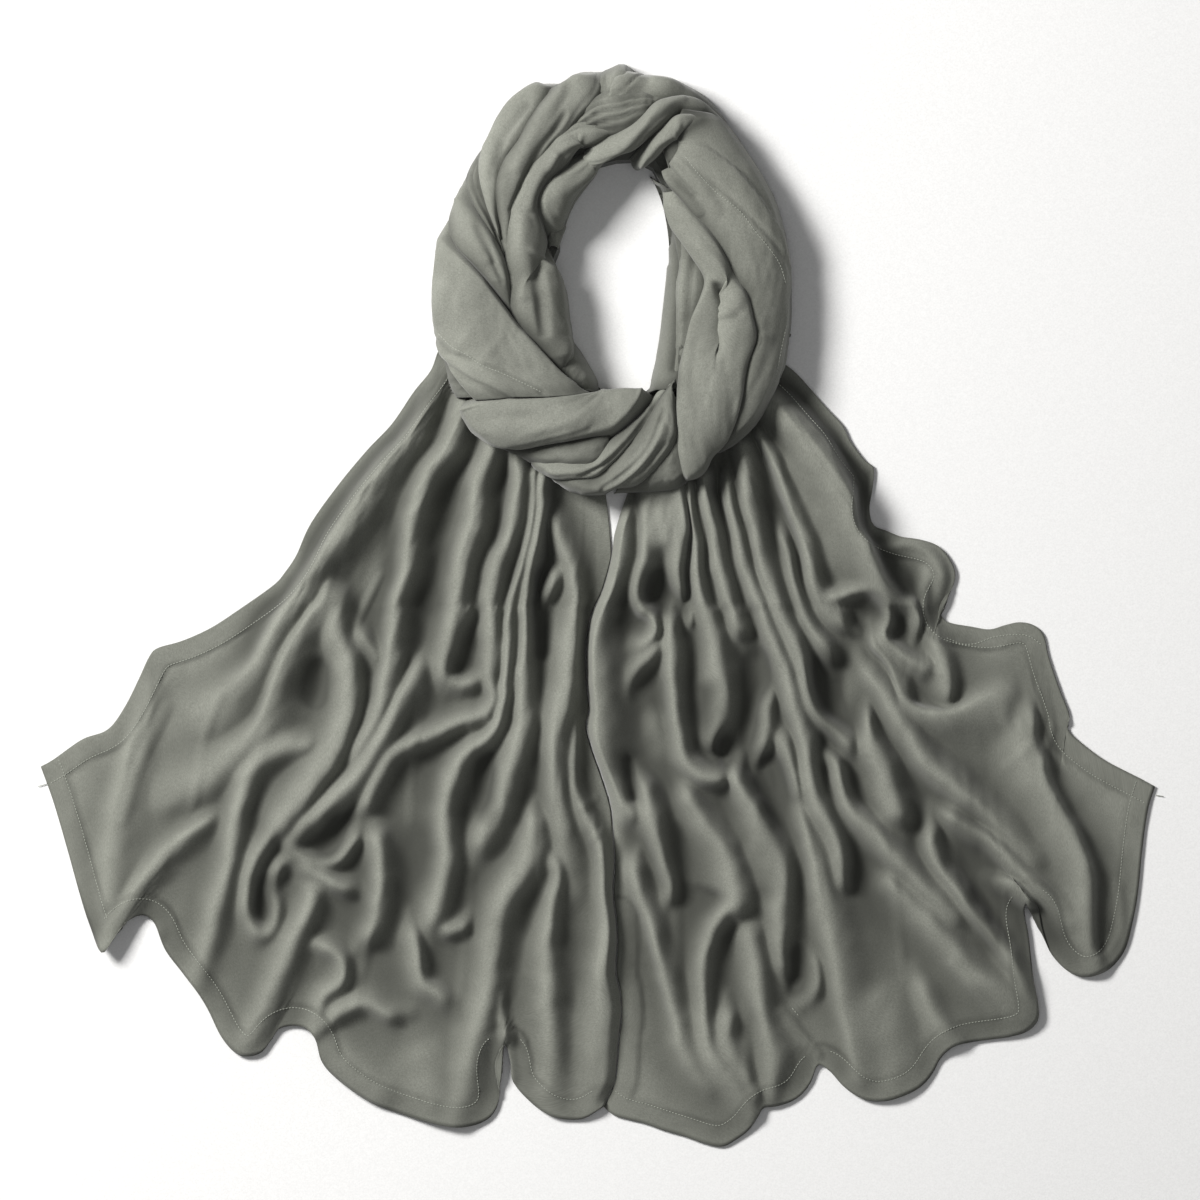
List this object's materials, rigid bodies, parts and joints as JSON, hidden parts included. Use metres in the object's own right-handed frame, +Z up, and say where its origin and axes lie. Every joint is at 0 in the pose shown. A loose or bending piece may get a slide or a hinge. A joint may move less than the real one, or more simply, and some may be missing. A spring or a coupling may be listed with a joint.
{
  "type": "hijab headscarf",
  "caption": "Long plain headscarf laid flat, wound into a ring at the top with both ends fanned out below in loose folds.",
  "frame": {"origin": "centre of the laid-out scarf seen from above, on the surface it rests on", "axes": "+X to the right across both ends, +Y towards the wound ring, +Z up from the surface"},
  "size_m": [0.78, 0.7562, 0.0463],
  "materials": {
    "scarf_cloth": "matt fine woven cloth, grey-green",
    "inner_layers": "matt fine woven cloth, hidden layers"
  },
  "bodies": {
    "root": {"ring_core": "inner_layers", "outer_panel": "scarf_cloth", "front_stretch": "scarf_cloth", "inner_right_edge": "scarf_cloth", "inner_right_fold": "scarf_cloth", "hook_strand": "scarf_cloth", "over_strand": "scarf_cloth", "top_outer": "scarf_cloth", "top_corner": "scarf_cloth", "top_strands": "scarf_cloth", "upper_left_outer": "scarf_cloth", "upper_left_middle": "scarf_cloth", "inner_left": "scarf_cloth", "left_strands": "scarf_cloth", "left_panel": "scarf_cloth", "left_band": "scarf_cloth", "left_roll": "scarf_cloth", "lining_corner": "scarf_cloth", "bottom_band": "scarf_cloth", "bottom_strand": "scarf_cloth", "bottom_roll": "scarf_cloth", "bottom_wide": "scarf_cloth", "bottom_end": "scarf_cloth", "left_tail": "scarf_cloth", "right_tail": "scarf_cloth"}
  },
  "joints": []
}
